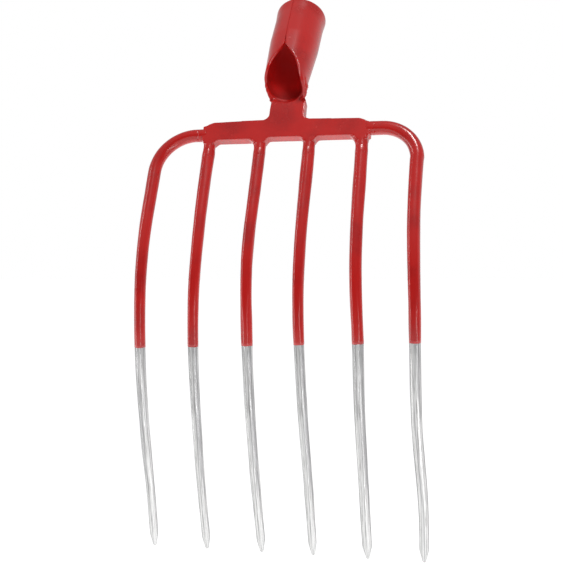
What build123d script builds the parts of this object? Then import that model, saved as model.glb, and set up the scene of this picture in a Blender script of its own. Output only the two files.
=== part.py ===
from build123d import *
from math import cos, radians, sin
import os

# The head of a six-tine hay fork, in millimetres, without its wooden handle.
# It hangs with its tines down: +Z is up, X runs along the crossbar, and -Y is the back,
# the bulging side of the tines, where the socket's seam and its open foot are.
# Pieces are drawn about the middle of the crossbar, then moved so that the origin is
# the centre of the socket's mouth.
# A lean is an angle from the vertical: a positive one carries a line towards +Y as it rises.

# ---------------------------------------------------------------- tines
# distance from the centre line at the crossbar, and how far the point stands outside that
tine_places = ((-115.0, -5.9), (-67.2, -5.4), (-21.6, -1.7), (21.6, 1.7), (67.2, 5.4), (115.0, 5.9))
tine_length = 380.0  # from the crossbar's centre line, measured along the tine
# length of each stretch and how many degrees it turns
tine_bends = ((75.0, 0.0), (80.0, 22.5), (75.0, 12.0), (75.0, 5.0), (75.0, -0.5))
root_lean = 23.0  # lean of the crossbar and of the tines' roots
root_diameter = 10.4
shank_end_diameter = 7.4
point_length = 12.0
point_end_diameter = 2.6
station_gap = 15.0  # between the sections of a tine

# the outer tines leave the crossbar's ends sideways and turn down in a round corner
# how far each sideways run lies below the crossbar's centre line, and its corner's radius
left_corner = (3.2, 35.0)
right_corner = (1.0, 31.0)
corner_steps = 9

# ---------------------------------------------------------------- paint
paint_thickness = 0.3
paint_line = 190.5  # where the paint ends, measured as the tine's length is
paint_slant = -1.5  # added to that from each tine to the next, counted from the middle of the row
paint_clearance = 0.5  # from a weld bead to the start of the film

# ---------------------------------------------------------------- crossbar and neck
crossbar_half_length = 74.0
crossbar_top = 8.2  # above the centre line, in the middle
crossbar_end_top = 6.6  # and at the ends
crossbar_bottom = 9.0  # below the centre line
crossbar_flat = 25.0  # half of the stretch of full height
crossbar_thickness = 10.0
stub_start = 11.5  # where a stub's round bar begins, below the crossbar's centre line
stub_end = 22.0  # where it ends and its tine begins
stub_web = 13.0  # how far the crossbar's plate runs down into a stub
web_fillet = 3.8
neck_width = 31.0
neck_thickness = 8.0
neck_fillet = 5.5
neck_rise = 14.0  # where the flat neck starts to bend, above the crossbar's centre line
neck_bend_length = 14.0
neck_steps = 4
neck_root = (22.0, 4.5, 14.0)  # width and thickness of its end inside the socket, and how far in that is

# ---------------------------------------------------------------- socket
socket_lean = 41.0
socket_side = -2.5  # the socket is set a little to one side of the centre line
socket_length = 99.5  # from the mouth to where the socket runs out into the neck
socket_joint = 88.0  # where the socket is welded to the neck's root, from the mouth
bore_radius = 19.2
bore_length = 42.0  # the parallel stretch at the mouth
socket_wall = 2.5
mouth_radius = bore_radius + socket_wall
foot_radius = 18.4
nose_centre = 89.0  # centre of the round end of the hollow, from the mouth
seam_width = 0.9
opening_tip = 59.0  # where the seam opens into the teardrop, from the mouth
# right-hand edge of the teardrop, seen from behind: distance from the middle and from the mouth
opening_edge = ((6.5, 68.3), (10.5, 73.0), (14.3, 79.8), (17.2, 87.0), (19.5, 94.0))
opening_tip_heading = (1.0, 1.0)
opening_end_heading = (0.1, 1.0)
opening_foot = 88.0  # below this the walls slope down to the neck
opening_foot_depth = 1.0  # where that slope starts, behind the socket's axis
opening_slope_end = 97.5

# ---------------------------------------------------------------- cutting shapes
overrun = 1.0  # how far a cutting shape runs past the face that it leaves through
cut_reach = 40.0  # half the width of a cut across the socket
half_space = 200.0
tolerance = 0.01

# ---------------------------------------------------------------- welds
bead_reach = 2.0  # along the piece, from the middle of a bead
bead_height = 1.2
socket_bead_turn = 150.0  # how far round the front of the socket its bead runs


def up(lean):
    return Vector(0, sin(radians(lean)), cos(radians(lean)))


def back(lean):
    return Vector(0, -cos(radians(lean)), sin(radians(lean)))


# A plane square to a line of that lean, looking down it, with its y towards the back.
def down_plane(centre, lean):
    return Plane(origin=centre, x_dir=(1, 0, 0), z_dir=-up(lean))


# ---------------------------------------------------------------- paths


# Side view of a tine: the place and the lean at a distance below the crossbar's centre line.
def spine(distance):
    place = Vector(0, 0, 0)
    lean = root_lean
    for length, turn in tine_bends:
        travel = min(distance, length)
        bend = turn * travel / length
        half = radians(bend) / 2
        chord = travel * (sin(half) / half if half else 1)
        place -= up(lean - bend / 2) * chord
        lean -= bend
        distance -= travel
    return place, lean


# A plane square to an inner tine, or to the straight part of an outer one.
def shank_plane(root_x, spread, distance, start):
    place, lean = spine(distance)
    slope = spread / (tine_length - start)
    x = root_x + slope * (distance - start)
    return Plane(origin=place + Vector(x, 0, 0), x_dir=back(lean), z_dir=Vector(slope, 0, 0) - up(lean))


def corner(root_x):
    return right_corner if root_x > 0 else left_corner


def is_outer(number):
    return abs(tine_places[number][0]) > crossbar_half_length


# Where a tine begins, below the crossbar's centre line or out from the crossbar's end.
def tine_start(number):
    return 0.0 if is_outer(number) else stub_end


# A plane square to an outer tine in its corner. The turn goes from 0, sideways, to 90, down.
def corner_plane(root_x, turn):
    side = 1 if root_x > 0 else -1
    angle = radians(turn)
    drop, radius = corner(root_x)
    place, lean = spine(drop + radius * (1 - cos(angle)))
    x = root_x + side * radius * (sin(angle) - 1)
    direction = Vector(side * cos(angle), 0, 0) - up(lean) * sin(angle)
    return Plane(origin=place + Vector(x, 0, 0), x_dir=back(lean), z_dir=direction)


def tine_diameter(distance):
    share = (distance - stub_end) / (tine_length - point_length - stub_end)
    return root_diameter + (shank_end_diameter - root_diameter) * max(0.0, share)


def spread_evenly(start, end, gap):
    count = max(2, round((end - start) / gap))
    return [start + (end - start) * i / count for i in range(count + 1)]


# The planes and diameters along a tine between two distances. An outer tine that starts
# at the crossbar's end begins with its sideways run and its corner.
def tine_stations(number, start, end):
    root_x, spread = tine_places[number]
    drop, radius = corner(root_x)
    corner_end = drop + radius
    stations = []
    if is_outer(number) and start < corner_end:
        first = corner_plane(root_x, 0)
        run = abs(root_x) - radius - crossbar_half_length - start
        stations.append((first.offset(-run), root_diameter))
        for step in range(corner_steps):
            stations.append((corner_plane(root_x, 90 * step / corner_steps), root_diameter))
        start = corner_end
    spread_start = corner_end if is_outer(number) else 0.0
    for distance in spread_evenly(start, end, station_gap):
        plane = shank_plane(root_x, spread, distance, spread_start)
        stations.append((plane, tine_diameter(distance)))
    return stations


def rod(stations, extra=0.0):
    return loft([plane * Circle(diameter / 2 + extra) for plane, diameter in stations], ruled=True)


# Distance at which a tine's paint stops.
def paint_end(number):
    middle = (len(tine_places) - 1) / 2
    return paint_line + paint_slant * (number - middle)


# The painted stretch of a tine, from just past its weld to the paint line.
def painted_stations(number):
    start = tine_start(number) + bead_reach + paint_clearance
    return tine_stations(number, start, paint_end(number))


# All of a tine down to its point. It shares the sections of the painted stretch.
def whole_stations(number):
    first = tine_stations(number, tine_start(number), tine_length)[0]
    bare = tine_stations(number, paint_end(number), tine_length - point_length)
    return [first] + painted_stations(number) + bare[1:]


# ---------------------------------------------------------------- frame of the head
crossbar_frame = Plane(origin=(0, 0, 0), x_dir=(1, 0, 0), z_dir=back(root_lean))

# The neck's back face is a line in side view: straight on from the crossbar's back face,
# then a bend, then straight along the socket.
neck_start = back(root_lean) * (crossbar_thickness / 2) + up(root_lean) * neck_rise
neck_stations = [(neck_start, root_lean)]
for step in range(neck_steps):
    turn = (socket_lean - root_lean) / neck_steps
    place, lean = neck_stations[-1]
    next_place = place + up(lean + turn / 2) * (neck_bend_length / neck_steps)
    neck_stations.append((next_place, lean + turn))

neck_face_depth = neck_thickness - foot_radius  # the neck's back face, from the socket's axis
neck_top = neck_stations[-1][0]
mouth = neck_top + up(socket_lean) * socket_length - back(socket_lean) * neck_face_depth
mouth = mouth + Vector(socket_side, 0, 0)
socket_frame = down_plane(mouth, socket_lean)


# ---------------------------------------------------------------- socket and forging
# The hollow: parallel at the mouth, then tapered, and round at its end.
def socket_hollow():
    share = (nose_centre - bore_length) / (socket_length - bore_length)
    nose_radius = bore_radius + (foot_radius - socket_wall - bore_radius) * share
    side = [(bore_radius, -overrun), (bore_radius, bore_length), (nose_radius, nose_centre)]
    outline = Polyline((0, -overrun), *side, (0, nose_centre), (0, -overrun))
    turned = revolve(Plane.XZ * make_face(outline), Axis.Z)
    return socket_frame * (turned + Pos(0, 0, nose_centre) * Sphere(nose_radius))


# The outside of the rolled socket before anything is cut away.
def socket_outside():
    side = [(mouth_radius, 0), (mouth_radius, bore_length), (foot_radius, socket_length)]
    outline = Polyline((0, 0), *side, (0, socket_length), (0, 0))
    return socket_frame * revolve(Plane.XZ * make_face(outline), Axis.Z)


# What is cut away at the back to open the teardrop: its outline, cut square to the socket,
# and below that the slope from the walls down to the neck's back face.
def socket_opening():
    wide, low = opening_edge[-1]
    below = socket_length + overrun
    edges = []
    for side in (1, -1):
        points = [(0, opening_tip)] + [(side * x, y) for x, y in opening_edge]
        headings = [(side * x, y) for x, y in (opening_tip_heading, opening_end_heading)]
        edges.append(Spline(*points, tangents=headings))
    foot = Polyline((wide, low), (wide, below), (-wide, below), (-wide, low))
    # this plane's x is the socket's x and its y runs down the socket, so it faces the front
    outline_plane = Plane(origin=mouth, x_dir=(1, 0, 0), z_dir=-back(socket_lean))
    teardrop = extrude(outline_plane * make_face(edges[0] + edges[1] + foot), -cut_reach)
    floor = [(opening_slope_end, neck_face_depth), (below, neck_face_depth), (below, cut_reach)]
    top = (opening_foot, opening_foot_depth)
    slope = Polyline(top, *floor, (opening_foot, cut_reach), top)
    # this plane's x runs down the socket and its y towards the back
    side_plane = Plane(origin=mouth, x_dir=-up(socket_lean), z_dir=(-1, 0, 0))
    return teardrop + extrude(side_plane * make_face(slope), cut_reach, both=True)


def seam_slit():
    length = opening_tip + 2 * overrun
    slit = Pos(0, mouth_radius, opening_tip / 2) * Box(seam_width, mouth_radius, length)
    return socket_frame * slit


# A section of the neck, with its back face on the line of neck_stations.
def neck_section(place, lean, side, width, thickness):
    plane = down_plane(place + Vector(side, 0, 0), lean)
    return plane * Pos(0, -thickness / 2) * Rectangle(width, thickness)


# The neck: from the crossbar's plate, round its bend, and into the wall of the socket.
def neck():
    sections = []
    for step, (place, lean) in enumerate(neck_stations):
        share = step / neck_steps
        thickness = crossbar_thickness + (neck_thickness - crossbar_thickness) * share
        sections.append(neck_section(place, lean, 0.0, neck_width, thickness))
    width, thickness, rise = neck_root
    root = neck_section(neck_top + up(socket_lean) * rise, socket_lean, socket_side, width, thickness)
    return loft(sections) + loft([sections[-1], root])


# The crossbar's plate with the flat root of the neck and the webs of the four stubs.
def crossbar_plate():
    end = crossbar_half_length
    top = [(crossbar_flat, crossbar_top), (-crossbar_flat, crossbar_top)]
    left = [(-end, crossbar_end_top), (-end, -crossbar_bottom)]
    right = [(end, -crossbar_bottom), (end, crossbar_end_top)]
    outline = make_face(Polyline(*top, *left, *right, top[0]))
    outline += Pos(0, neck_rise / 2) * Rectangle(neck_width, neck_rise)
    level = [v for v in outline.vertices() if abs(v.Y - crossbar_top) < tolerance]
    corners = [v for v in level if abs(abs(v.X) - neck_width / 2) < tolerance]
    outline = fillet(corners, neck_fillet)
    for root_x, _ in tine_places[1:-1]:
        outline += Pos(root_x, -stub_web / 2) * Rectangle(root_diameter, stub_web)
    last_stub = tine_places[-2][0]
    level = [v for v in outline.vertices() if abs(v.Y + crossbar_bottom) < tolerance]
    corners = [v for v in level if abs(v.X) < last_stub]
    outline = fillet(corners, web_fillet)
    return crossbar_frame * Pos(0, 0, -crossbar_thickness / 2) * extrude(outline, crossbar_thickness)


def stub(number):
    root_x, spread = tine_places[number]
    ends = (stub_start, stub_end)
    return rod([(shank_plane(root_x, spread, distance, 0.0), root_diameter) for distance in ends])


forging = crossbar_plate() + neck()
for number in range(len(tine_places)):
    if not is_outer(number):
        forging += stub(number)
whole = (socket_outside() - socket_opening() + forging) - socket_hollow() - seam_slit()

block = Pos(0, 0, -half_space / 2) * Box(half_space, half_space, half_space)
above_joint = socket_frame.offset(socket_joint) * block
socket = whole & above_joint
head = whole - above_joint


# ---------------------------------------------------------------- tines, paint and welds
def tine(number):
    stations = whole_stations(number)
    end_plane, end_diameter = stations[-1]
    tip_plane = end_plane.offset(point_length)
    point = [end_plane * Circle(end_diameter / 2), tip_plane * Circle(point_end_diameter / 2)]
    return rod(stations) + loft(point)


# The film of paint round a tine.
def paint_film(number):
    stations = painted_stations(number)
    return rod(stations, paint_thickness) - rod(stations)


# A ring of weld bead round the axis Z, on a surface that tapers from one radius to another.
def bead_ring(start, start_radius, end, end_radius, turn=360.0):
    crown = (max(start_radius, end_radius) + bead_height, (start + end) / 2)
    outer = ThreePointArc((start_radius, start), crown, (end_radius, end))
    inner = Line((end_radius, end), (start_radius, start))
    return Rot(0, 0, -turn / 2) * revolve(Plane.XZ * make_face(outer + inner), Axis.Z, turn)


# The bead round the butt joint of a tine with its stub or with the crossbar's end.
def tine_weld(number):
    joint, diameter = whole_stations(number)[0]
    first = 0.0 if is_outer(number) else -bead_reach
    return joint * bead_ring(first, diameter / 2, bead_reach, diameter / 2)


def socket_radius(distance):
    share = (distance - bore_length) / (socket_length - bore_length)
    return mouth_radius + (foot_radius - mouth_radius) * share


# The bead round the front of the socket where it meets the neck's root.
def socket_weld():
    start = socket_joint - bead_reach
    end = socket_joint + bead_reach
    bead = bead_ring(start, socket_radius(start), end, socket_radius(end), socket_bead_turn)
    # the ring is centred on the plane's x, and a quarter turn takes it to the front
    return socket_frame * Rot(0, 0, -90) * bead


pieces = {"socket": socket, "crossbar_and_neck": head, "socket_weld": socket_weld()}
for number in range(len(tine_places)):
    name = f"tine_{number + 1}"
    pieces[name] = tine(number)
    pieces[name + "_weld"] = tine_weld(number)
    pieces[name + "_paint"] = paint_film(number)

print("mouth centre from the crossbar's middle", mouth)
os.makedirs("parts", exist_ok=True)
for name, piece in pieces.items():
    export_step(Pos(-mouth.X, -mouth.Y, -mouth.Z) * piece, f"parts/{name}.step")
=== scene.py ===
from math import cos, degrees, exp, pi, radians, sin
import bpy
import bmesh
from mathutils import Matrix, Vector, noise


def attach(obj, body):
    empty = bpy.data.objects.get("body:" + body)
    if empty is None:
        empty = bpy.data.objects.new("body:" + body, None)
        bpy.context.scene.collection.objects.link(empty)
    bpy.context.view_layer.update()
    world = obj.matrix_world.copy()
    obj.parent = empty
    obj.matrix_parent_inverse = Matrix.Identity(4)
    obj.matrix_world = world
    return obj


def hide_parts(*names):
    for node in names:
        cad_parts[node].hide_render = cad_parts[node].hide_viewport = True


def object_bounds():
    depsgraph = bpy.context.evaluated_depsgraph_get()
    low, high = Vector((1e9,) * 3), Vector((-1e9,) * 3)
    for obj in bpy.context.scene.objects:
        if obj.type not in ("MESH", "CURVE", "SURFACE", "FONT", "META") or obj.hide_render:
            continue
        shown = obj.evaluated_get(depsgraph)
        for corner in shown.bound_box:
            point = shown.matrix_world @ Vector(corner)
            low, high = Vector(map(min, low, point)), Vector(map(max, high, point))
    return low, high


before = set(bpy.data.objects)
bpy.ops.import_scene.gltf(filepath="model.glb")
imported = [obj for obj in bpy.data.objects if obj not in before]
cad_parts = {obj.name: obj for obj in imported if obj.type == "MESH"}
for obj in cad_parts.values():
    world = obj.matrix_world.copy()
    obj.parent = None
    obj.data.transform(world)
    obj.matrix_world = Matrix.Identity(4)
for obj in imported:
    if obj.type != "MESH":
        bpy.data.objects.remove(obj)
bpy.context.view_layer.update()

# The head of a six-tine hay fork, hanging with its tines down. Lengths in the dictionaries are
# millimetres and angles are degrees, but the materials, the trees and the studio count in metres.
# The origin is the middle of the socket's mouth. The back, where the socket is open, faces -Y.
toMetres = 0.001


# expressions and nodes

class Wire:
    # an output socket that can stand in a sum

    def __init__(self, bench, socket):
        self.bench = bench
        self.socket = socket

    def out(self, name):
        return Wire(self.bench, self.socket.node.outputs[name])

    def maths(self, operation, first, second=0.0):
        return self.bench.add("ShaderNodeMath", {"operation": operation}, {0: first, 1: second})

    def __add__(self, other):
        return self.maths("ADD", self, other)

    def __radd__(self, other):
        return self.maths("ADD", other, self)

    def __sub__(self, other):
        return self.maths("SUBTRACT", self, other)

    def __rsub__(self, other):
        return self.maths("SUBTRACT", other, self)

    def __mul__(self, other):
        return self.maths("MULTIPLY", self, other)

    def __rmul__(self, other):
        return self.maths("MULTIPLY", other, self)

    def __truediv__(self, other):
        return self.maths("DIVIDE", self, other)

    def __rtruediv__(self, other):
        return self.maths("DIVIDE", other, self)

    def __pow__(self, power):
        return self.maths("POWER", self, power)

    def atLeast(self, low):
        return self.maths("MAXIMUM", self, low)

    def atMost(self, high):
        return self.maths("MINIMUM", self, high)

    def sine(self):
        return self.maths("SINE", self)

    def absolute(self):
        return self.maths("ABSOLUTE", self)

    def angleOver(self, other):
        return self.maths("ARCTAN2", self, other)

    def step(self, low, high):
        # 0 below low, 1 above high, and smooth between them
        values = {"Value": self, "From Min": low, "From Max": high}
        return self.bench.add("ShaderNodeMapRange", {"interpolation_type": "SMOOTHSTEP"}, values)


class Bench:
    # lays nodes into one tree

    def __init__(self, tree):
        self.tree = tree
        tree.nodes.clear()

    def add(self, kind, settings=None, values=None):
        # settings are set first, because they decide which sockets there are
        made = self.tree.nodes.new(kind)
        for name, value in (settings or {}).items():
            setattr(made, name, value)
        for name, value in (values or {}).items():
            socket = made.inputs[name]
            if isinstance(value, Wire):
                self.tree.links.new(value.socket, socket)
            else:
                socket.default_value = value
        return Wire(self, made.outputs[0]) if made.outputs else made

    def scaled(self, vector, amount):
        values = {0: vector, "Scale": amount}
        return self.add("ShaderNodeVectorMath", {"operation": "SCALE"}, values)

    def summed(self, first, second):
        return self.add("ShaderNodeVectorMath", {"operation": "ADD"}, {0: first, 1: second})

    def mixColour(self, amount, first, second):
        settings = {"data_type": "RGBA", "clamp_factor": True}
        return self.add("ShaderNodeMix", settings, {0: amount, 6: first, 7: second}).out(2)


def colour(red, green, blue):
    return (red, green, blue, 1.0)


# camera

cameraPlace = {
    "target": (-1.0, -69.0, -239.0),
    "distance": 1006.9,
    "azimuth": 14.84,
    "elevation": 0.87,
    "roll": -0.09,
    "lens": 74.84,
    "near": 10.0,
    "far": 100000.0,
}


def makeCamera():
    data = bpy.data.cameras.new("camera")
    data.lens = cameraPlace["lens"]
    data.clip_start = cameraPlace["near"] * toMetres
    data.clip_end = cameraPlace["far"] * toMetres
    camera = bpy.data.objects.new("camera", data)
    bpy.context.scene.collection.objects.link(camera)
    turn = Matrix.Rotation(radians(cameraPlace["azimuth"]), 4, "Z")
    tilt = Matrix.Rotation(radians(90 - cameraPlace["elevation"]), 4, "X")
    roll = Matrix.Rotation(radians(cameraPlace["roll"]), 4, "Z")
    back = (turn @ tilt).to_3x3() @ Vector((0, 0, cameraPlace["distance"]))
    place = (Vector(cameraPlace["target"]) + back) * toMetres
    camera.matrix_world = Matrix.Translation(place) @ turn @ tilt @ roll
    bpy.context.scene.camera = camera


makeCamera()
print("camera set")


# the shape of the head, as the frame has it

head = {
    "rootLean": 23.0,  # of the crossbar and the tines' roots
    "socketLean": 41.0,
    "socketSide": -2.5,
    "socketLength": 99.5,
    "footRadius": 18.4,
    "neckThickness": 8.0,
    "neckRise": 14.0,
    "neckBend": 14.0,
    "neckSteps": 4,
    "barThickness": 10.0,
    "barHalfLength": 74.0,
    "stubEnd": 22.0,
    "stubRadius": 5.2,
}

# root place along the crossbar, how far the point stands outside that, radius at the root and
# at the end of the shank, and small sways (distance, sideways) left by the forging
tines = {
    1: {"root": -115.0, "spread": -5.9, "thick": (5.30, 3.62),
        "sways": ((330.0, 0.3), (390.0, -1.0))},
    2: {"root": -67.2, "spread": -5.4, "thick": (5.20, 3.60),
        "sways": ((104.0, 1.2), (320.0, -0.6))},
    3: {"root": -21.6, "spread": -1.7, "thick": (5.10, 3.85),
        "sways": ((125.0, -0.9), (378.0, 0.7))},
    4: {"root": 21.6, "spread": 1.7, "thick": (5.10, 3.70),
        "sways": ((158.0, -0.8), (310.0, 0.6))},
    5: {"root": 67.2, "spread": 5.4, "thick": (5.25, 4.20),
        "sways": ((190.0, 1.4), (341.0, -0.8), (395.0, -1.4))},
    6: {"root": 115.0, "spread": 5.9, "thick": (5.55, 4.05),
        "sways": ((71.0, -0.9), (158.0, 0.5), (255.0, -1.1), (330.0, 0.5), (395.0, -2.2))},
}

tineShape = {
    "length": 380.0,
    # length and turn of each arc in side view, from the crossbar down
    "bends": ((75.0, 0.0), (80.0, 22.5), (75.0, 12.0), (75.0, 5.0), (75.0, -0.5)),
    "corners": {1: (3.2, 35.0), 6: (1.0, 31.0)},  # drop and radius of an outer tine's corner
    "swayReach": 42.0,
    "pointLength": 12.0,
    "pointRadius": 1.25,
    "pointRound": 1.3,
    "pointTurns": (15.0, 30.0, 45.0, 60.0, 74.0, 84.0),  # where the rounded tip has its rings
    "sides": 36,
    "ringGap": 2.5,
    "flats": 4.0,
    "flatDepth": 0.13,
    "lumpDepth": 0.16,
    "lumpSize": 17.0,
    "seedStep": 3.7,  # between one tine's unevenness and the next one's
}

paint = {
    "start": 0.2,  # below the joint with the crossbar or its stub
    "line": 190.5,  # where it stops, half way between the two middle tines
    "slant": -1.5,  # from one tine to the next
    "thickness": 0.3,
    "wall": 0.36,  # reaches a little into the bar
    "edgeWave": 0.35,
}


def up(lean):
    return Vector((0.0, sin(radians(lean)), cos(radians(lean))))


def back(lean):
    return Vector((0.0, -cos(radians(lean)), sin(radians(lean))))


def barMiddle():
    # the crossbar's middle, from the neck's path up to the socket's mouth
    lean = head["rootLean"]
    place = back(lean) * (head["barThickness"] / 2) + up(lean) * head["neckRise"]
    turn = (head["socketLean"] - lean) / head["neckSteps"]
    for _ in range(head["neckSteps"]):
        place += up(lean + turn / 2) * (head["neckBend"] / head["neckSteps"])
        lean += turn
    faceDepth = head["neckThickness"] - head["footRadius"]
    mouth = place + up(lean) * head["socketLength"] - back(lean) * faceDepth
    return -(mouth + Vector((head["socketSide"], 0.0, 0.0)))


barCentre = barMiddle()


def barPoint(along, height, depth):
    # a point by the crossbar: along it, up its plate, and out of its back
    lean = head["rootLean"]
    return barCentre + Vector((along, 0.0, 0.0)) + up(lean) * height + back(lean) * depth


def socketPoint(side, distance, depth):
    # a point by the socket: to the right, down from its mouth, and out of its back
    lean = head["socketLean"]
    return Vector((side, 0.0, 0.0)) - up(lean) * distance + back(lean) * depth


def spine(distance):
    # side view of a tine: the place and the lean at a distance below the crossbar
    place = Vector((0.0, 0.0, 0.0))
    lean = head["rootLean"]
    for length, turn in tineShape["bends"]:
        travel = min(distance, length)
        bend = turn * travel / length
        half = radians(bend) / 2
        chord = travel * (sin(half) / half if half else 1)
        place -= up(lean - bend / 2) * chord
        lean -= bend
        distance -= travel
    return place, lean


def smoothStep(value, low, high):
    share = max(0.0, min(1.0, (value - low) / (high - low)))
    return share * share * (3 - 2 * share)


def evenly(start, end, gap):
    count = max(2, round((end - start) / gap))
    return [start + (end - start) * i / count for i in range(count + 1)]


def tinePath(number, start, end):
    # points down a tine's middle, each with its distance, which is below the joint with the
    # crossbar on an outer tine's sideways run and corner
    tine = tines[number]
    points = []
    spreadStart = 0.0
    if number in tineShape["corners"]:
        drop, radius = tineShape["corners"][number]
        side = 1 if tine["root"] > 0 else -1
        spreadStart = drop + radius
        runLength = abs(tine["root"]) - radius - head["barHalfLength"]
        cornerLength = radius * pi / 2
        runPlace, _ = spine(drop)
        for run in evenly(0.0, runLength, tineShape["ringGap"])[:-1]:
            x = side * (head["barHalfLength"] + run)
            points.append((run + spreadStart - runLength - cornerLength, Vector((x, 0, 0)) + runPlace))
        for turn in evenly(0.0, pi / 2, tineShape["ringGap"] / radius)[:-1]:
            place, _ = spine(drop + radius * (1 - cos(turn)))
            x = tine["root"] + side * radius * (sin(turn) - 1)
            points.append((spreadStart - cornerLength + turn * radius, Vector((x, 0, 0)) + place))
    slope = tine["spread"] / (tineShape["length"] - spreadStart)
    shankStart = max(start, spreadStart)
    roundStart = tineShape["length"] - tineShape["pointRound"]
    stops = evenly(shankStart, min(end, roundStart), tineShape["ringGap"])
    if end > roundStart:
        stops += [roundStart + tineShape["pointRound"] * sin(radians(a)) for a in tineShape["pointTurns"]]
    for stop in stops:
        place, _ = spine(stop)
        x = tine["root"] + slope * (stop - spreadStart)
        for swayAt, sway in tine["sways"]:
            x += sway * exp(-((stop - swayAt) / tineShape["swayReach"]) ** 2)
        points.append((stop, Vector((x, 0, 0)) + place))
    slack = 0.01
    return [(d, barCentre + p) for d, p in points if start - slack <= d <= end + slack]


def tineFirst(number):
    # the distance at which a tine meets the crossbar or its stub
    if number in tineShape["corners"]:
        return tinePath(number, -tineShape["length"], 0.0)[0][0]
    return head["stubEnd"]


def pathMesh(name, points):
    # a line of points as a mesh of edges, which carries the distance along it
    mesh = bpy.data.meshes.new(name)
    edges = [(i, i + 1) for i in range(len(points) - 1)]
    mesh.from_pydata([p * toMetres for _, p in points], edges, [])
    along = mesh.attributes.new("along", "FLOAT", "POINT")
    along.data.foreach_set("value", [d * toMetres for d, _ in points])
    made = bpy.data.objects.new(name, mesh)
    bpy.context.scene.collection.objects.link(made)
    return made


# geometry trees

def newTree(name, inputs):
    # a geometry tree with named inputs: name, socket type, value
    tree = bpy.data.node_groups.new(name, "GeometryNodeTree")
    bench = Bench(tree)
    tree.interface.new_socket("Geometry", in_out="INPUT", socket_type="NodeSocketGeometry")
    for label, kind, value in inputs:
        socket = tree.interface.new_socket(label, in_out="INPUT", socket_type=kind)
        if value is not None:
            socket.default_value = value
    tree.interface.new_socket("Geometry", in_out="OUTPUT", socket_type="NodeSocketGeometry")
    source = bench.add("NodeGroupInput")
    return bench, source


def named(bench, name, kind="FLOAT"):
    return bench.add("GeometryNodeInputNamedAttribute", {"data_type": kind}, {"Name": name})


def store(bench, geometry, name, value, kind="FLOAT"):
    values = {"Geometry": geometry, "Name": name, "Value": value}
    return bench.add("GeometryNodeStoreNamedAttribute", {"data_type": kind, "domain": "POINT"}, values)


def finishTree(bench, geometry, material):
    smooth = bench.add("GeometryNodeSetShadeSmooth", None, {"Geometry": geometry, "Shade Smooth": True})
    whole = bench.add("GeometryNodeRealizeInstances", None, {"Geometry": smooth})
    painted = bench.add("GeometryNodeSetMaterial", None, {"Geometry": whole, "Material": material})
    bench.add("NodeGroupOutput", None, {"Geometry": painted})


grainRadius = 0.0045  # metres; the streaks down a bar are laid out on this radius all the way


def sweepAlong(bench, source, radius, sides, caps):
    # a round section carried down the path, with its place round the bar kept in rodPlace
    path = bench.add("GeometryNodeMeshToCurve", None, {"Mesh": source.out("Geometry")})
    path = store(bench, path, "rodRadius", radius)
    circle = bench.add("GeometryNodeCurvePrimitiveCircle", None, {"Resolution": sides, "Radius": 1.0})
    place = bench.add("GeometryNodeInputPosition")
    circle = store(bench, circle, "roundPlace", place, "FLOAT_VECTOR")
    values = {"Curve": path, "Profile Curve": circle, "Scale": named(bench, "rodRadius"), "Fill Caps": caps}
    swept = bench.add("GeometryNodeCurveToMesh", None, values)
    around = bench.scaled(named(bench, "roundPlace", "FLOAT_VECTOR"), grainRadius)
    downward = bench.add("ShaderNodeCombineXYZ", None, {"Z": named(bench, "along")})
    return store(bench, swept, "rodPlace", bench.summed(around, downward), "FLOAT_VECTOR")


def lumpOffset(bench, seed, size, depth):
    # smooth unevenness, from a noise that is read where the surface is
    place = bench.add("GeometryNodeInputPosition")
    values = {"Vector": place, "W": seed, "Scale": 1.0 / size, "Detail": 1.0, "Roughness": 0.4}
    rough = bench.add("ShaderNodeTexNoise", {"noise_dimensions": "4D"}, values)
    return (rough - 0.5) * 2.0 * depth


rodDetail = {
    "flatDrift": 14.0,  # how quickly the flats come and go, for each metre of bar
    "flatTurn": 1.6,  # radians that they wander round the bar
    "edgeReach": 0.004,  # metres beside the paint's edge that waver with it
    "edgeGrain": 0.004,
    "edgeSeed": 7.0,
}


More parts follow.
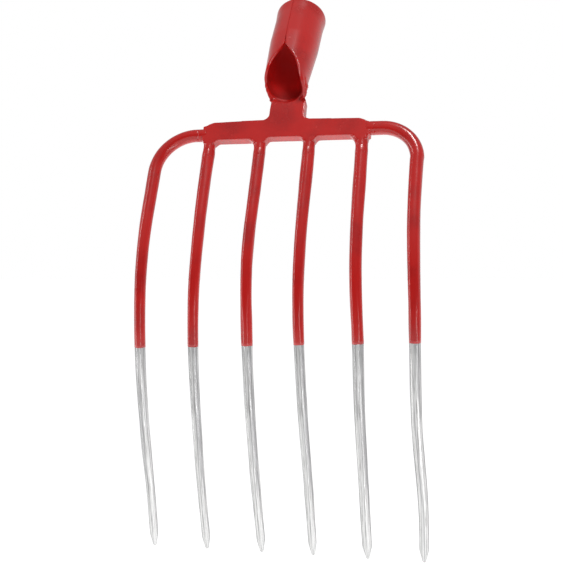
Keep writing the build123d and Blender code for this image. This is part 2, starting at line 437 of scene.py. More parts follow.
def makeRodTree():
    number = "NodeSocketFloat"
    bench, source = newTree("taperedRod", [
        ("Root Radius", number, 0.0052),
        ("End Radius", number, 0.0037),
        ("Taper Start", number, 0.022),
        ("Point Start", number, 0.368),
        ("Point End", number, 0.38),
        ("Point Radius", number, 0.00125),
        ("Round Length", number, 0.0013),
        ("Extra", number, 0.0),
        ("Flats", number, 4.0),
        ("Flat Depth", number, 0.0001),
        ("Lump Size", number, 0.017),
        ("Lump Depth", number, 0.0001),
        ("Crown Middle", number, 0.0),
        ("Crown Reach", number, 0.002),
        ("Crown Height", number, 0.0),
        ("Edge Place", number, 0.0),
        ("Edge Wave", number, 0.0),
        ("Sides", "NodeSocketInt", 36),
        ("Caps", "NodeSocketBool", True),
        ("Seed", number, 0.0),
        ("Material", "NodeSocketMaterial", None),
    ])
    take = source.out
    along = named(bench, "along")

    def between(low, high, start, end):
        values = {"Value": along, "From Min": low, "From Max": high, "To Min": start, "To Max": end}
        return bench.add("ShaderNodeMapRange", {"clamp": True}, values)

    shank = between(take("Taper Start"), take("Point Start"), take("Root Radius"), take("End Radius"))
    toPoint = between(take("Point Start"), take("Point End"), 0.0, 1.0)
    radius = shank + (take("Point Radius") - take("End Radius")) * toPoint
    rounding = between(take("Point End") - take("Round Length"), take("Point End"), 0.0, 1.0)
    radius = radius * (1.0 - rounding * rounding) ** 0.5
    crown = (1.0 - ((along - take("Crown Middle")) / take("Crown Reach")) ** 2.0).atLeast(0.0)
    radius = radius + take("Extra") + crown * take("Crown Height")
    swept = sweepAlong(bench, source, radius, take("Sides"), take("Caps"))

    # four forged flats that come and go, lumps, and a wavering edge where the paint stops
    parts = bench.add("ShaderNodeSeparateXYZ", None, {"Vector": named(bench, "roundPlace", "FLOAT_VECTOR")})
    angle = parts.out("Y").angleOver(parts.out("X"))
    values = {"W": along * rodDetail["flatDrift"] + take("Seed"), "Scale": 1.0, "Detail": 1.0}
    drift = bench.add("ShaderNodeTexNoise", {"noise_dimensions": "1D"}, values)
    turned = angle + (drift - 0.5) * rodDetail["flatTurn"]
    flats = (turned * take("Flats")).sine() * take("Flat Depth") * drift * 2.0
    away = 1.0 - rounding
    out = (flats + lumpOffset(bench, take("Seed"), take("Lump Size"), take("Lump Depth"))) * away
    normal = bench.add("GeometryNodeInputNormal")
    values = {"Geometry": swept, "Offset": bench.scaled(normal, out)}
    moved = bench.add("GeometryNodeSetPosition", None, values)
    fromEdge = (along - take("Edge Place")).absolute()
    closeness = 1.0 - (fromEdge / rodDetail["edgeReach"]).atMost(1.0)
    seed = take("Seed") + rodDetail["edgeSeed"]
    wave = lumpOffset(bench, seed, rodDetail["edgeGrain"], take("Edge Wave")) * closeness
    lift = bench.add("ShaderNodeCombineXYZ", None, {"Z": wave})
    waved = bench.add("GeometryNodeSetPosition", None, {"Geometry": moved, "Offset": lift})
    finishTree(bench, waved, take("Material"))
    return bench.tree


beadDetail = {
    "endPower": 0.35,  # smaller makes blunter ends
    "endSize": 0.15,
}


def makeBeadTree():
    number = "NodeSocketFloat"
    bench, source = newTree("weldBead", [
        ("Radius", number, 0.0016),
        ("Ripple Gap", number, 0.0018),
        ("Ripple Depth", number, 0.0002),
        ("Lump Size", number, 0.003),
        ("Lump Depth", number, 0.0004),
        ("Sides", "NodeSocketInt", 14),
        ("Seed", number, 0.0),
        ("Material", "NodeSocketMaterial", None),
    ])
    take = source.out
    along = named(bench, "along")
    share = bench.add("GeometryNodeSplineParameter")
    swell = (share * pi).sine().atLeast(0.0) ** beadDetail["endPower"]
    swell = swell.atLeast(beadDetail["endSize"])
    ripple = (along / take("Ripple Gap") * pi).sine()
    radius = take("Radius") * swell + ripple.absolute() * take("Ripple Depth")
    swept = sweepAlong(bench, source, radius, take("Sides"), True)
    normal = bench.add("GeometryNodeInputNormal")
    out = lumpOffset(bench, take("Seed"), take("Lump Size"), take("Lump Depth"))
    values = {"Geometry": swept, "Offset": bench.scaled(normal, out)}
    moved = bench.add("GeometryNodeSetPosition", None, values)
    finishTree(bench, moved, take("Material"))
    return bench.tree


def grow(source, tree, name, values):
    # runs a tree on an object and leaves the result as a plain mesh object
    modifier = source.modifiers.new(tree.name, "NODES")
    modifier.node_group = tree
    for item in tree.interface.items_tree:
        if item.item_type == "SOCKET" and item.in_out == "INPUT" and item.name in values:
            modifier[item.identifier] = values[item.name]
    made = plainCopy(source, name)
    source.modifiers.remove(modifier)
    bpy.data.objects.remove(source)
    for spare in ("roundPlace", "rodRadius"):
        if spare in made.data.attributes:
            made.data.attributes.remove(made.data.attributes[spare])
    return made


def plainCopy(source, name):
    bpy.context.view_layer.update()
    evaluated = source.evaluated_get(bpy.context.evaluated_depsgraph_get())
    mesh = bpy.data.meshes.new_from_object(evaluated)
    mesh.name = name
    made = bpy.data.objects.new(name, mesh)
    bpy.context.scene.collection.objects.link(made)
    return made


rodTree = makeRodTree()
beadTree = makeBeadTree()
print("geometry trees built")


# materials

def newMaterial(name):
    material = bpy.data.materials.new(name)
    material.use_nodes = True
    return material, Bench(material.node_tree)


def noiseAt(bench, vector, scale, detail=3.0, roughness=0.5):
    values = {"Vector": vector, "Scale": scale, "Detail": detail, "Roughness": roughness}
    return bench.add("ShaderNodeTexNoise", None, values)


redPaint = {
    "body": colour(0.550, 0.0095, 0.0075),
    "deep": colour(0.420, 0.0055, 0.0050),
    "thin": colour(0.610, 0.0200, 0.0150),
    "gloss": 0.17,
    "dull": 0.34,
    "coat": 0.45,
    "coatDull": 0.15,
    "ior": 1.5,
    "cloud": 38.0,  # how fine each pattern is
    "runs": 150.0,
    "barRuns": 420.0,
    "barStretch": 0.06,
    "peel": 620.0,
    "dust": 2300.0,
    "cloudEdge": (0.40, 0.72),  # where each one starts and is full
    "runEdge": (0.52, 0.78),
    "dustEdge": (0.76, 0.84),
    "runShare": 0.45,
    "dustShare": 0.3,
    "bump": 0.35,
    "bumpDepth": 0.00022,
}


def makePaint(name, followsRod):
    # enamel: slow drifts of tone, orange peel, small runs down the bars, specks of dust
    material, bench = newMaterial(name)
    place = bench.add("ShaderNodeTexCoord").out("Object")
    if followsRod:
        line = bench.add("ShaderNodeAttribute", {"attribute_name": "rodPlace"}).out("Vector")
        values = {"Vector": line, "Scale": (1.0, 1.0, redPaint["barStretch"])}
        runs = noiseAt(bench, bench.add("ShaderNodeMapping", None, values), redPaint["barRuns"])
    else:
        runs = noiseAt(bench, place, redPaint["runs"])
    cloud = noiseAt(bench, place, redPaint["cloud"], 4.0, 0.55)
    peel = noiseAt(bench, place, redPaint["peel"], 2.0)
    dust = noiseAt(bench, place, redPaint["dust"], 1.0)
    tone = bench.mixColour(cloud.step(*redPaint["cloudEdge"]), redPaint["body"], redPaint["deep"])
    thin = runs.step(*redPaint["runEdge"]) * redPaint["runShare"]
    tone = bench.mixColour(thin, tone, redPaint["thin"])
    specks = dust.step(*redPaint["dustEdge"]) * redPaint["dustShare"]
    tone = bench.mixColour(specks, tone, redPaint["deep"])
    gloss, dull = redPaint["gloss"], redPaint["dull"]
    height = peel * 0.55 + runs * 0.45
    values = {"Strength": redPaint["bump"], "Distance": redPaint["bumpDepth"], "Height": height}
    bump = bench.add("ShaderNodeBump", None, values)
    values = {
        "Base Color": tone,
        "Roughness": gloss + (dull - gloss) * (cloud * 0.6 + runs * 0.4),
        "Normal": bump,
        "Coat Weight": redPaint["coat"] * (0.8 + peel * 0.4),
        "Coat Roughness": redPaint["coatDull"],
        "IOR": redPaint["ior"],
    }
    surface = bench.add("ShaderNodeBsdfPrincipled", None, values)
    bench.add("ShaderNodeOutputMaterial", None, {"Surface": surface})
    return material


bareSteel = {
    "pale": colour(0.74, 0.74, 0.735),
    "grey": colour(0.45, 0.45, 0.455),
    "dark": colour(0.15, 0.147, 0.144),
    "edge": colour(0.30, 0.30, 0.30),  # the tint at grazing angles
    "gloss": 0.24,
    "dull": 0.46,
    "metal": 0.75,
    "wide": (760.0, 0.012),  # how fine the streaks are and how much they are drawn out
    "fine": (1300.0, 0.03),
    "patch": 90.0,
    "pits": 900.0,
    "wideEdge": (0.45, 0.55),  # where each one starts and is full
    "fineEdge": (0.50, 0.68),
    "pitEdge": (0.72, 0.80),
    "fineShare": 0.6,
    "pitShare": 0.35,
    "bump": 0.8,
    "bumpDepth": 0.00045,
}


def makeSteel():
    # drawn and ground bar: long streaks and scratches down its length, a few dark pits
    material, bench = newMaterial("bareSteelBar")
    line = bench.add("ShaderNodeAttribute", {"attribute_name": "rodPlace"}).out("Vector")

    def streaks(scale, stretch):
        mapped = bench.add("ShaderNodeMapping", None, {"Vector": line, "Scale": (1.0, 1.0, stretch)})
        return noiseAt(bench, mapped, scale, 3.0, 0.6)

    wide = streaks(*bareSteel["wide"])
    fine = streaks(*bareSteel["fine"])
    patch = noiseAt(bench, line, bareSteel["patch"], 4.0, 0.6)
    pits = noiseAt(bench, line, bareSteel["pits"], 2.0)
    tone = bench.mixColour(wide.step(*bareSteel["wideEdge"]), bareSteel["grey"], bareSteel["pale"])
    scratches = fine.step(*bareSteel["fineEdge"]) * bareSteel["fineShare"]
    tone = bench.mixColour(scratches, tone, bareSteel["dark"])
    holes = pits.step(*bareSteel["pitEdge"]) * bareSteel["pitShare"]
    tone = bench.mixColour(holes, tone, bareSteel["dark"])
    gloss, dull = bareSteel["gloss"], bareSteel["dull"]
    height = wide * 0.55 + fine * 0.35 + pits * 0.1
    values = {"Strength": bareSteel["bump"], "Distance": bareSteel["bumpDepth"], "Height": height}
    bump = bench.add("ShaderNodeBump", None, values)
    values = {
        "Base Color": tone,
        "Roughness": gloss + (dull - gloss) * (fine * 0.6 + patch * 0.4),
        "Metallic": (bareSteel["metal"] + patch * 0.3).atMost(1.0),
        "Normal": bump,
        "Specular Tint": bareSteel["edge"],
    }
    surface = bench.add("ShaderNodeBsdfPrincipled", None, values)
    bench.add("ShaderNodeOutputMaterial", None, {"Surface": surface})
    return material


# inside the socket: the body is a lighter red than the outside enamel, painted light that lifts the
# socket's shade; the foot is painted shade, darker deep down the socket
insideCoatPaintedLightAndShade = {
    "body": colour(0.720, 0.0160, 0.0140),
    "foot": colour(0.300, 0.0070, 0.0060),
    "footShadeFade": (72.0, 92.0),  # millimetres down the socket
    "footShadeWander": 0.01,
    "dull": 0.42,
    "shine": 0.12,
    "cloud": 60.0,
    "grit": 1100.0,
    "bump": 0.3,
    "bumpDepth": 0.0002,
}


def makeInsidePaintedLightAndShade():
    # the thin dull coat inside the socket: a lighter red than the outside as painted light in the socket's
    # shade, and darker towards the foot as painted shade deep in the socket
    material, bench = newMaterial("redEnamelInsidePaintedLightAndShade")
    place = bench.add("ShaderNodeTexCoord").out("Object")
    cloud = noiseAt(bench, place, insideCoatPaintedLightAndShade["cloud"], 4.0, 0.6)
    grit = noiseAt(bench, place, insideCoatPaintedLightAndShade["grit"], 2.0, 0.6)
    parts = bench.add("ShaderNodeSeparateXYZ", None, {"Vector": place})
    line = up(head["socketLean"])
    # painted shade: the red darkens with depth down the socket towards its foot, along a cloudy edge
    depth = 0.0 - (parts.out("Y") * line.y + parts.out("Z") * line.z)
    start, end = insideCoatPaintedLightAndShade["footShadeFade"]
    fade = (depth + (cloud - 0.5) * insideCoatPaintedLightAndShade["footShadeWander"]).step(start * toMetres, end * toMetres)
    values = {"Strength": insideCoatPaintedLightAndShade["bump"], "Distance": insideCoatPaintedLightAndShade["bumpDepth"], "Height": grit}
    bump = bench.add("ShaderNodeBump", None, values)
    values = {
        "Base Color": bench.mixColour(fade, insideCoatPaintedLightAndShade["body"], insideCoatPaintedLightAndShade["foot"]),
        "Roughness": insideCoatPaintedLightAndShade["dull"] + grit * 0.25,
        "Normal": bump,
        "Specular IOR Level": insideCoatPaintedLightAndShade["shine"],
    }
    surface = bench.add("ShaderNodeBsdfPrincipled", None, values)
    bench.add("ShaderNodeOutputMaterial", None, {"Surface": surface})
    return material


insidePaintedLightAndShade = makeInsidePaintedLightAndShade()
forgedPaint = makePaint("redEnamelForging", False)
barPaint = makePaint("redEnamelBar", True)
steel = makeSteel()
print("materials made")


# tines

def toPiece(piece, slot, *nodes):
    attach(piece, "root")
    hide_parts(*nodes)


def rodValues(number):
    tine = tines[number]
    root, end = tine["thick"]
    length = tineShape["length"]
    return {
        "Root Radius": root * toMetres,
        "End Radius": end * toMetres,
        "Taper Start": head["stubEnd"] * toMetres,
        "Point Start": (length - tineShape["pointLength"]) * toMetres,
        "Point End": length * toMetres,
        "Point Radius": tineShape["pointRadius"] * toMetres,
        "Round Length": tineShape["pointRound"] * toMetres,
        "Flats": tineShape["flats"],
        "Flat Depth": tineShape["flatDepth"] * toMetres,
        "Lump Size": tineShape["lumpSize"] * toMetres,
        "Lump Depth": tineShape["lumpDepth"] * toMetres,
        "Sides": tineShape["sides"],
        "Seed": number * tineShape["seedStep"],
    }


def thicken(piece, thickness):
    wall = piece.modifiers.new("wall", "SOLIDIFY")
    wall.thickness = thickness * toMetres
    wall.offset = -1.0


def makeTine(number):
    values = rodValues(number)
    name = f"tine{number}"
    first = tineFirst(number)
    node = f"tine_{number}"

    source = pathMesh(name + "Path", tinePath(number, first, tineShape["length"]))
    bar = grow(source, rodTree, name + "Bar", {**values, "Material": steel})
    toPiece(bar, "bare_steel", node)

    middle = (len(tines) + 1) / 2
    paintEnd = paint["line"] + paint["slant"] * (number - middle)
    source = pathMesh(name + "PaintPath", tinePath(number, first + paint["start"], paintEnd))
    values["Extra"] = paint["thickness"] * toMetres
    values["Caps"] = False
    values["Edge Place"] = paintEnd * toMetres
    values["Edge Wave"] = paint["edgeWave"] * toMetres
    film = grow(source, rodTree, name + "Paint", {**values, "Material": barPaint})
    thicken(film, paint["wall"])
    toPiece(film, "red_paint", node + "_paint")


for number in tines:
    makeTine(number)
print("tines swept and painted")


# welds between the tines and the crossbar

tineWeld = {
    "before": 3.2,  # from the joint up the crossbar's stub
    "after": 3.6,
    "cover": 0.03,  # over the paint beside it
    "height": 0.14,
    "wall": 1.4,
    "ringGap": 0.45,
}


def makeTineWeld(number):
    first = tineFirst(number)
    values = rodValues(number)
    root, _ = tines[number]["thick"]
    onStub = max(root, head["stubRadius"]) + tineWeld["cover"]
    onPaint = root + paint["thickness"] + tineWeld["cover"]
    values.update({
        "Root Radius": onStub * toMetres,
        "End Radius": onPaint * toMetres,
        "Taper Start": (first - tineWeld["before"]) * toMetres,
        "Point Start": (first + tineWeld["after"]) * toMetres,
        "Point End": 2 * tineShape["length"] * toMetres,
        "Point Radius": onPaint * toMetres,
        "Caps": False,
        "Crown Middle": (first + (tineWeld["after"] - tineWeld["before"]) / 2) * toMetres,
        "Crown Reach": (tineWeld["after"] + tineWeld["before"]) / 2 * toMetres,
        "Crown Height": tineWeld["height"] * toMetres,
        "Material": barPaint,
    })
    ahead = tinePath(number, first, first + tineWeld["after"] + tineShape["ringGap"])
    direction = (ahead[1][1] - ahead[0][1]).normalized()
    points = []
    for distance in evenly(-tineWeld["before"], tineWeld["after"], tineWeld["ringGap"]):
        points.append((first + distance, ahead[0][1] + direction * distance))
    source = pathMesh(f"tine{number}WeldPath", points)
    weld = grow(source, rodTree, f"tine{number}Weld", values)
    thicken(weld, tineWeld["wall"])
    toPiece(weld, "red_paint", f"tine_{number}_weld")


for number in tines:
    makeTineWeld(number)
print("tine welds made")


# crossbar and neck

forging = {
    "weldGap": 1e-6,  # metres; corners closer than this are one
    "grain": 0.75,
    "smoothing": 5,
    "lumpDepth": 0.14,
    "lumpSize": 26.0,
    "dentDepth": 0.03,
    "dentSize": 6.0,
    "endDrop": 3.0,  # how far the plate's top dips at its ends
    "endReach": 11.0,
    "leftDrop": 1.2,  # how much deeper the plate is on its left
    "topRise": (0.0, 6.0),  # heights between which the dip sets in
    "leftTop": (3.0, 8.0),  # depths between which the left drop sets in and fades again
    "leftFoot": (9.5, 13.0),
    "leftEnd": (-24.0, -14.0),
}

# concave flares in the corners on the left of the stubs
flareShape = {
    "stubSide": 4.4,
    "barFoot": -8.2,
    "thickness": 7.2,
    "overlap": 2.0,  # into the stub and the crossbar
    "lift": 1.0,
    "steps": 8,
}
# stub, width along the crossbar, height down the stub
flares = ((-67.2, 3.0, 6.0), (-21.6, 7.5, 13.0), (21.6, 4.0, 8.0), (67.2, 8.5, 14.0))


def flareMesh(target, root, width, height):
    # a gusset in the corner between the crossbar and the left side of a stub
    edge = root - flareShape["stubSide"]
    level = flareShape["barFoot"]
    inside = edge + flareShape["overlap"]
    outline = [(inside, level + flareShape["overlap"]), (edge - width, level + flareShape["lift"])]
    for step in range(flareShape["steps"] + 1):
        angle = radians(90 * step / flareShape["steps"])
        outline.append((edge - width * (1 - sin(angle)), level - height * (1 - cos(angle))))
    outline.append((inside, level - height))
    rings = []
    for depth in (flareShape["thickness"] / 2, -flareShape["thickness"] / 2):
        rings.append([target.verts.new(barPoint(x, y, depth) * toMetres) for x, y in outline])
    target.faces.new(rings[0])
    target.faces.new(reversed(rings[1]))
    for i in range(len(outline)):
        j = (i + 1) % len(outline)
        target.faces.new((rings[1][i], rings[1][j], rings[0][j], rings[0][i]))


def makeForging():
    source = bmesh.new()
    source.from_mesh(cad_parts["crossbar_and_neck"].data)
    bmesh.ops.remove_doubles(source, verts=source.verts, dist=forging["weldGap"])
    for flare in flares:
        flareMesh(source, *flare)
    bmesh.ops.recalc_face_normals(source, faces=source.faces)
    mesh = bpy.data.meshes.new("forgingSource")
    source.to_mesh(mesh)
    source.free()
    rough = bpy.data.objects.new("forgingSource", mesh)
    bpy.context.scene.collection.objects.link(rough)
    remesh = rough.modifiers.new("remesh", "REMESH")
    remesh.mode = "VOXEL"
    remesh.voxel_size = forging["grain"] * toMetres
    relax = rough.modifiers.new("relax", "SMOOTH")
    relax.factor = 0.5
    relax.iterations = forging["smoothing"]
    made = plainCopy(rough, "crossbarForging")
    bpy.data.objects.remove(rough)
    shapeForging(made.data)
    made.data.polygons.foreach_set("use_smooth", [True] * len(made.data.polygons))
    made.data.materials.clear()
    made.data.materials.append(forgedPaint)
    toPiece(made, "red_paint", "crossbar_and_neck")


def shapeForging(mesh):
    # dips the plate's ends to the bars that leave them, and leaves hammer marks all over
    rise = up(head["rootLean"])
    end = head["barHalfLength"]
    normals = [vertex.normal.copy() for vertex in mesh.vertices]
    for vertex, normal in zip(mesh.vertices, normals):
        place = vertex.co / toMetres - barCentre
        height = place.dot(rise)
        overEnd = smoothStep(abs(place.x), end - forging["endReach"], end)
        dip = overEnd * forging["endDrop"] * smoothStep(height, *forging["topRise"])
        lump = noise.noise(place / forging["lumpSize"]) * forging["lumpDepth"]
        dent = noise.noise(place / forging["dentSize"]) * forging["dentDepth"]
        lift = smoothStep(-height, *forging["leftTop"]) * (1 - smoothStep(-height, *forging["leftFoot"]))
        onLeft = lift * (1 - smoothStep(place.x, *forging["leftEnd"]))
        drop = dip + forging["leftDrop"] * onLeft
        vertex.co += (normal * (lump + dent) - rise * drop) * toMetres
    mesh.update()


makeForging()
print("crossbar and neck forged")


# socket

socket = {
    "mouthRadius": 21.7,
    "parallel": 42.0,
    "wall": 2.5,
    "footWall": 3.0,
    "tip": 59.0,  # of the opening
    "seamAngle": (-8.0, -4.2),  # at the mouth and at the opening's tip
    "seamWaves": ((0.16, 0.33), (0.10, 0.9)),  # degrees, and how quickly each comes again
    "seamGap": 0.02,
    "tipGap": 0.35,
    "tipGapStart": 46.0,
    "seamFlat": 17.0,  # degrees to either side that stay flatter
    "flatFade": 14.0,
    "mouthFlare": 0.7,
    "flareReach": 13.0,
    "foot": (80.0, 88.0),  # where it grows to the foot's wall and swell
    "footSwell": 0.3,
    "footTrim": 0.2,
    "rimRound": 0.7,
    "lipRound": 0.75,
    "rings": 150,
    "roundSteps": 110,
    "lipWave": 0.28,
    "lipWaveStart": 12.0,  # below the tip, where the lips waver in full
    "lipWaves": ((1.0, 0.55, 5.0, 1.3), (0.5, 1.6, 9.0, 4.1)),  # size, then a place in the noise
    # distance down the socket and angle from its back, by which the opening is cut
    "leftLip": ((59.0, -4.6), (62.6, -9.5), (68.6, -23.4), (72.6, -36.0), (77.0, -50.5), (81.0, -61.0),
                (84.0, -76.0), (87.0, -98.0), (91.0, -117.0), (96.0, -125.0), (99.3, -127.0)),
    "rightLip": ((59.0, -3.8), (62.5, 1.7), (67.9, 14.3), (73.8, 28.9), (79.0, 38.5), (84.0, 47.0),
                 (89.0, 57.0), (94.0, 70.0), (97.5, 96.0), (99.3, 118.0)),
}
quarterTurns = (0.0, 22.5, 45.0, 67.5, 90.0)


def through(points, at):
    # a smooth line through points, level in slope where it is flat
    xs = [p[0] for p in points]
    ys = [p[1] for p in points]
    last = len(points) - 1
    at = max(xs[0], min(xs[-1], at))
    i = max(k for k in range(last) if xs[k] <= at)
    slopes = []
    for k in (i, i + 1):
        low, high = max(k - 1, 0), min(k + 1, last)
        slopes.append((ys[high] - ys[low]) / (xs[high] - xs[low]))
    gap = xs[i + 1] - xs[i]
    s = (at - xs[i]) / gap
    return (ys[i] * (2 * s ** 3 - 3 * s ** 2 + 1) + slopes[0] * gap * (s ** 3 - 2 * s ** 2 + s)
            + ys[i + 1] * (3 * s ** 2 - 2 * s ** 3) + slopes[1] * gap * (s ** 3 - s ** 2))


def socketOuter(distance):
    share = max(0.0, distance - socket["parallel"]) / (head["socketLength"] - socket["parallel"])
    return socket["mouthRadius"] + (head["footRadius"] - socket["mouthRadius"]) * share


def seamAngle(distance):
    atMouth, atTip = socket["seamAngle"]
    return atMouth + (atTip - atMouth) * min(1.0, distance / socket["tip"])


def lipAngle(side, distance):
    # where the sheet stops on the left (-1) or the right (1) of the seam
    if distance < socket["tip"]:
        wave = sum(size * sin(distance * rate) for size, rate in socket["seamWaves"])
        opening = smoothStep(distance, socket["tipGapStart"], socket["tip"])
        gap = socket["seamGap"] + socket["tipGap"] * opening
        return seamAngle(distance) + wave + side * degrees(gap / socket["mouthRadius"])
    line = socket["leftLip"] if side < 0 else socket["rightLip"]
    wave = 0.0
    for size, rate, row, layer in socket["lipWaves"]:
        wave += size * noise.noise(Vector((distance * rate, side * row, layer)))
    fade = smoothStep(distance, socket["tip"], socket["tip"] + socket["lipWaveStart"])
    return through(line, distance) + degrees(wave * fade * socket["lipWave"] / socketOuter(distance))


def sheetRadius(angle, distance):
    # the rolled sheet's ends stay flatter, so its back stands up along the seam
    flat = socket["seamFlat"]
    away = abs(angle - seamAngle(distance))
    peak = 1.0 / cos(radians(max(0.0, flat - away)))
    fade = 1.0 - smoothStep(distance, socket["tip"], socket["tip"] + socket["flatFade"])
    return 1.0 + (peak - 1.0) * fade


def socketRing(distance, inset):
    # one closed section of the sheet: outside, right lip, inside, left lip
    right = lipAngle(1, distance)
    left = lipAngle(-1, distance) + 360.0
    outer = socketOuter(distance)
    foot = smoothStep(distance, *socket["foot"])
    wall = socket["wall"] + (socket["footWall"] - socket["wall"]) * foot
    outer += socket["footSwell"] * foot
    outer += socket["mouthFlare"] * (1 - smoothStep(distance, 0.0, socket["flareReach"]))
    middle = outer - wall / 2
    half = wall / 2 - inset
    corner = socket["lipRound"] - inset * 0.5
    points = []

    def add(angle, offset):
        stretch = sheetRadius(angle if angle < 180 else angle - 360, distance)
        reach = middle * stretch + offset
        points.append((reach * sin(radians(angle)), reach * cos(radians(angle))))

    perLength = degrees(1.0 / middle)
    steps = socket["roundSteps"]
    ends = [(corner - corner * sin(radians(a)), corner - corner * cos(radians(a))) for a in quarterTurns]
    start = right + (inset + corner) * perLength
    stop = left - (inset + corner) * perLength
    for i in range(steps + 1):
        add(start + (stop - start) * i / steps, half)
    for inward, down in ends[1:]:
        add(left - (inset + inward) * perLength, half - down)
    for inward, down in reversed(ends[1:]):
        add(left - (inset + inward) * perLength, -half + down)
    for i in range(steps + 1):
        add(stop + (start - stop) * i / steps, -half)
    for inward, down in ends[1:]:
        add(right + (inset + inward) * perLength, -half + down)
    for inward, down in reversed(ends[1:]):
        add(right + (inset + inward) * perLength, half - down)
    return points


def axisPoint(place):
    # the nearest point of the socket's middle line
    line = up(head["socketLean"])
    return line * (place / toMetres).dot(line)


def makeSocket():
    rim = socket["rimRound"]
    length = head["socketLength"] - socket["footTrim"]
    stops = [(rim - rim * cos(radians(a)), rim - rim * sin(radians(a))) for a in quarterTurns[:-1]]
    places = list(stops)
    places += [(d, 0.0) for d in evenly(rim, length - rim, (length - 2 * rim) / socket["rings"])]
    places += [(length - d, inset) for d, inset in reversed(stops)]
    mesh = bmesh.new()
    rings = []
    for distance, inset in places:
        section = socketRing(distance, inset)
        rings.append([mesh.verts.new(socketPoint(x, distance, depth) * toMetres) for x, depth in section])
    count = len(rings[0])
    for upper, lower in zip(rings, rings[1:]):
        for i in range(count):
            j = (i + 1) % count
            mesh.faces.new((upper[i], lower[i], lower[j], upper[j]))
    # the two ends, closed between the outer and the inner run of each ring
    lipSteps = len(quarterTurns) - 1
    across = 2 * socket["roundSteps"] + 2 * lipSteps + 1
    for ring in (rings[0], rings[-1]):
        for i in range(-lipSteps, socket["roundSteps"] + lipSteps):
            mesh.faces.new([ring[k % count] for k in (i, i + 1, across - i - 1, across - i)])
    bmesh.ops.recalc_face_normals(mesh, faces=mesh.faces)
    data = bpy.data.meshes.new("socketSheet")
    mesh.to_mesh(data)
    mesh.free()
    data.polygons.foreach_set("use_smooth", [True] * len(data.polygons))
    data.materials.append(forgedPaint)
    data.materials.append(insidePaintedLightAndShade)
    for face in data.polygons:
        outward = face.center / toMetres - axisPoint(face.center)
        face.material_index = int(face.normal.dot(outward) < 0)
    made = bpy.data.objects.new("socketSheet", data)
    bpy.context.scene.collection.objects.link(made)
    toPiece(made, "red_paint", "socket")


makeSocket()
print("socket rolled")


# weld between the socket and the neck

socketWeld = {
    "radius": 1.7,
    "sink": 0.5,
    "place": 88.0,
    "turn": 82.0,  # how far it runs round the front, to either side of the middle
    "turnGap": 1.5,
    "rippleGap": 2.2,
    "rippleDepth": 0.25,
    "lump": 0.7,
    "lumpSize": 3.2,
    "sides": 18,
    "seed": 5.0,
}

# the thick run on the right, from the socket's lip down to the edge of the neck
sideWeld = {
    "radius": 1.9,
    "lump": 0.9,
    "seed": 11.0,
    "steps": 10,  # from one point of the route to the next
    "pointGap": 5.5,
    # to the right, down from the socket's mouth, out of its back
    "route": ((17.6, 87.5, 5.5), (18.0, 90.5, 3.0), (18.1, 93.5, -0.5),
              (17.4, 96.5, -5.0), (16.4, 99.0, -9.5)),
}


def makeSocketWeld():
    radius = socketOuter(socketWeld["place"]) + socket["footSwell"] - socketWeld["sink"]
    turn = socketWeld["turn"]
    points = []
    for angle in evenly(180.0 - turn, 180.0 + turn, socketWeld["turnGap"]):
        side = radius * sin(radians(angle))
        depth = radius * cos(radians(angle))
        points.append((radians(angle) * radius, socketPoint(side, socketWeld["place"], depth)))
    source = pathMesh("socketWeldPath", points)
    values = {
        "Radius": socketWeld["radius"] * toMetres,
        "Ripple Gap": socketWeld["rippleGap"] * toMetres,
        "Ripple Depth": socketWeld["rippleDepth"] * toMetres,
        "Lump Depth": socketWeld["lump"] * toMetres,
        "Lump Size": socketWeld["lumpSize"] * toMetres,
        "Sides": socketWeld["sides"],
        "Seed": socketWeld["seed"],
        "Material": barPaint,
    }
    front = grow(source, beadTree, "socketWeldFront", values)
    toPiece(front, "red_paint", "socket_weld")

    route = sideWeld["route"]
    points = []
    for i in range((len(route) - 1) * sideWeld["steps"] + 1):
        at = i / sideWeld["steps"]
        place = [through([(k, p[axis]) for k, p in enumerate(route)], at) for axis in range(3)]
        points.append((at * sideWeld["pointGap"], socketPoint(*place)))
    source = pathMesh("socketWeldSidePath", points)
    values["Radius"] = sideWeld["radius"] * toMetres
    values["Lump Depth"] = sideWeld["lump"] * toMetres
    values["Seed"] = sideWeld["seed"]
    sideRun = grow(source, beadTree, "socketWeldSide", values)
    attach(sideRun, "root")


makeSocketWeld()
print("socket weld laid")


# floor and light

studio = {
    "floorDrop": 0.35,
    "floorSize": 40.0,
    "floorFront": 0.45,
    "floorTone": colour(0.93, 0.93, 0.93),
    "floorRough": 0.9,
    "floorGlow": 0.75,
    "white": colour(1.0, 1.0, 1.0),
    "front": 0.09,  # the world's strength, as the head meets it, by where it comes from
    "above": 0.33,
    "below": 0.95,
    "behind": 0.64,
    "beside": 0.58,
    "frontEdge": (-0.1, 0.5),  # between which directions one turns into the next
    "aboveEdge": (0.12, 0.60),
    "belowEdge": (0.12, 0.26),
    "besideEdge": (0.3, 0.8),
    "lampTarget": (0.0, 0.0, -0.2),
}
lamps = {
    "overhead": {"place": (0.45, -0.8, 1.7), "size": (0.5, 0.5), "power": 22.0},
    "leftStrip": {"place": (-1.4, -0.5, -0.1), "size": (0.2, 1.8), "power": 6.0},
    "rightStrip": {"place": (1.0, -1.1, -0.9), "size": (0.15, 1.2), "power": 3.0},
}


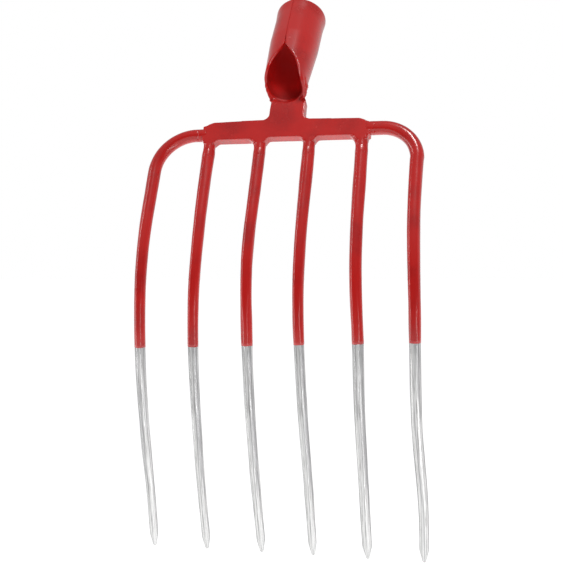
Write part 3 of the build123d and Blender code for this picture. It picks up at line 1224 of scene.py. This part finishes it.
def makeFloor():
    low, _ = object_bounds()
    size = studio["floorSize"]
    level = low.z - studio["floorDrop"]
    mesh = bpy.data.meshes.new("floor")
    front = -studio["floorFront"]
    corners = [(-size, front, level), (size, front, level), (size, size, level), (-size, size, level)]
    mesh.from_pydata(corners, [], [(0, 1, 2, 3)])
    floor = bpy.data.objects.new("floor", mesh)
    bpy.context.scene.collection.objects.link(floor)
    material, bench = newMaterial("paleFloor")
    values = {
        "Base Color": studio["floorTone"],
        "Roughness": studio["floorRough"],
        "Specular IOR Level": 0.0,
        "Emission Color": studio["white"],
        "Emission Strength": studio["floorGlow"],
    }
    surface = bench.add("ShaderNodeBsdfPrincipled", None, values)
    bench.add("ShaderNodeOutputMaterial", None, {"Surface": surface})
    mesh.materials.append(material)


def makeWorld():
    # plain white to the camera, and dimmer for light and reflections, most of all from the front
    world = bpy.data.worlds.new("studio")
    bpy.context.scene.world = world
    world.use_nodes = True
    bench = Bench(world.node_tree)
    toward = bench.add("ShaderNodeTexCoord").out("Generated")
    parts = bench.add("ShaderNodeSeparateXYZ", None, {"Vector": toward})
    x, y, z = parts.out("X"), parts.out("Y"), parts.out("Z")
    ahead = (0.0 - y).step(*studio["frontEdge"])
    under = (0.0 - z).step(*studio["belowEdge"])
    front = studio["front"] + (studio["below"] - studio["front"]) * under
    aside = (x * x).step(*studio["besideEdge"])
    side = studio["behind"] + (studio["beside"] - studio["behind"]) * aside
    level = side + ahead * (front - side)
    level = level + z.step(*studio["aboveEdge"]) * (studio["above"] - level)
    seen = bench.add("ShaderNodeLightPath").out("Is Camera Ray")
    strength = level + seen * (1.0 - level)
    light = bench.add("ShaderNodeBackground", None, {"Color": studio["white"], "Strength": strength})
    bench.add("ShaderNodeOutputWorld", None, {"Surface": light})


def makeLamp(name):
    lamp = lamps[name]
    data = bpy.data.lights.new(name, "AREA")
    data.shape = "RECTANGLE"
    data.size, data.size_y = lamp["size"]
    data.energy = lamp["power"]
    made = bpy.data.objects.new(name, data)
    bpy.context.scene.collection.objects.link(made)
    direction = Vector(studio["lampTarget"]) - Vector(lamp["place"])
    made.location = lamp["place"]
    made.rotation_euler = direction.to_track_quat("-Z", "Y").to_euler()


makeFloor()
makeWorld()
for name in lamps:
    makeLamp(name)
bpy.context.scene.view_settings.view_transform = "Standard"
print("floor and lights set")
